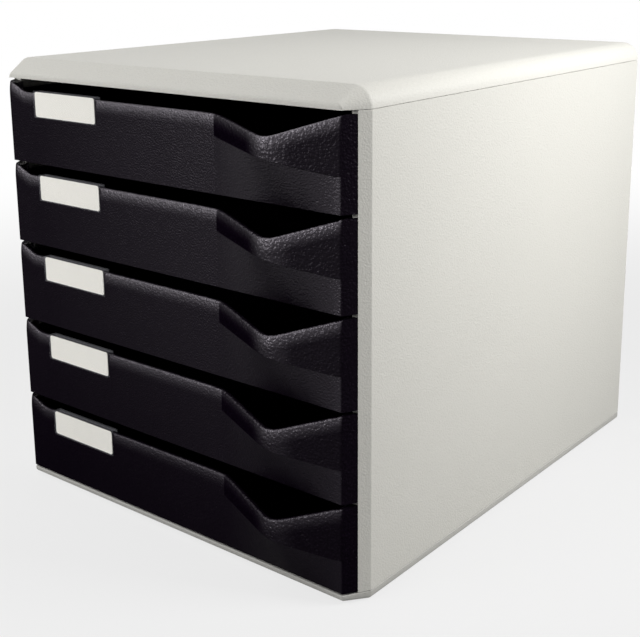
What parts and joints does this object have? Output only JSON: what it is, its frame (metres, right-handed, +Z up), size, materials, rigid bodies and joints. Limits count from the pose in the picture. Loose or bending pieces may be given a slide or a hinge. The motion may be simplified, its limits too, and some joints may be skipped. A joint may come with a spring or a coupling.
{
  "type": "desktop drawer organizer",
  "caption": "Light desktop casing for A4 papers with black sliding letter trays, each with a beaked finger grip at the right and a clip-on label at the left.",
  "frame": {"origin": "on the desk, under the middle of the bounding box with every drawer shut", "axes": "+Z up; -Y is the front, the way the drawers pull out; +X is to the right, the side of the finger grips, seen from the front"},
  "size_m": [0.291, 0.3566, 0.291],
  "materials": {
    "casing_plastic": "light warm grey moulded plastic with a fine even grain",
    "drawer_plastic": "black moulded plastic with a leather-like grain, low sheen",
    "clear_plastic": "clear glossy plastic",
    "white_card": "matt off-white paper card",
    "foot_rubber": "dull dark grey rubber"
  },
  "bodies": {
    "casing": {"base": "casing_plastic", "rubber_feet": "foot_rubber", "top_cover": "casing_plastic", "right_side_panel": "casing_plastic", "left_side_panel": "casing_plastic", "back_panel": "casing_plastic"},
    "drawer_1_unit": {"drawer_1": "drawer_plastic", "label_holder_1": "clear_plastic", "label_card_1": "white_card"},
    "drawer_2_unit": {"drawer_2": "drawer_plastic", "label_holder_2": "clear_plastic", "label_card_2": "white_card"},
    "drawer_3_unit": {"drawer_3": "drawer_plastic", "label_holder_3": "clear_plastic", "label_card_3": "white_card"},
    "drawer_4_unit": {"drawer_4": "drawer_plastic", "label_holder_4": "clear_plastic", "label_card_4": "white_card"},
    "drawer_5_unit": {"drawer_5": "drawer_plastic", "label_holder_5": "clear_plastic", "label_card_5": "white_card"}
  },
  "joints": [
    {"name": "drawer_1_slide", "type": "slide", "parent": "casing", "child": "drawer_1_unit", "axis": [0, -1, 0], "range_m": [0, 0.25]},
    {"name": "drawer_2_slide", "type": "slide", "parent": "casing", "child": "drawer_2_unit", "axis": [0, -1, 0], "range_m": [0, 0.25]},
    {"name": "drawer_3_slide", "type": "slide", "parent": "casing", "child": "drawer_3_unit", "axis": [0, -1, 0], "range_m": [0, 0.25]},
    {"name": "drawer_4_slide", "type": "slide", "parent": "casing", "child": "drawer_4_unit", "axis": [0, -1, 0], "range_m": [0, 0.25]},
    {"name": "drawer_5_slide", "type": "slide", "parent": "casing", "child": "drawer_5_unit", "axis": [0, -1, 0], "range_m": [0, 0.25]}
  ]
}
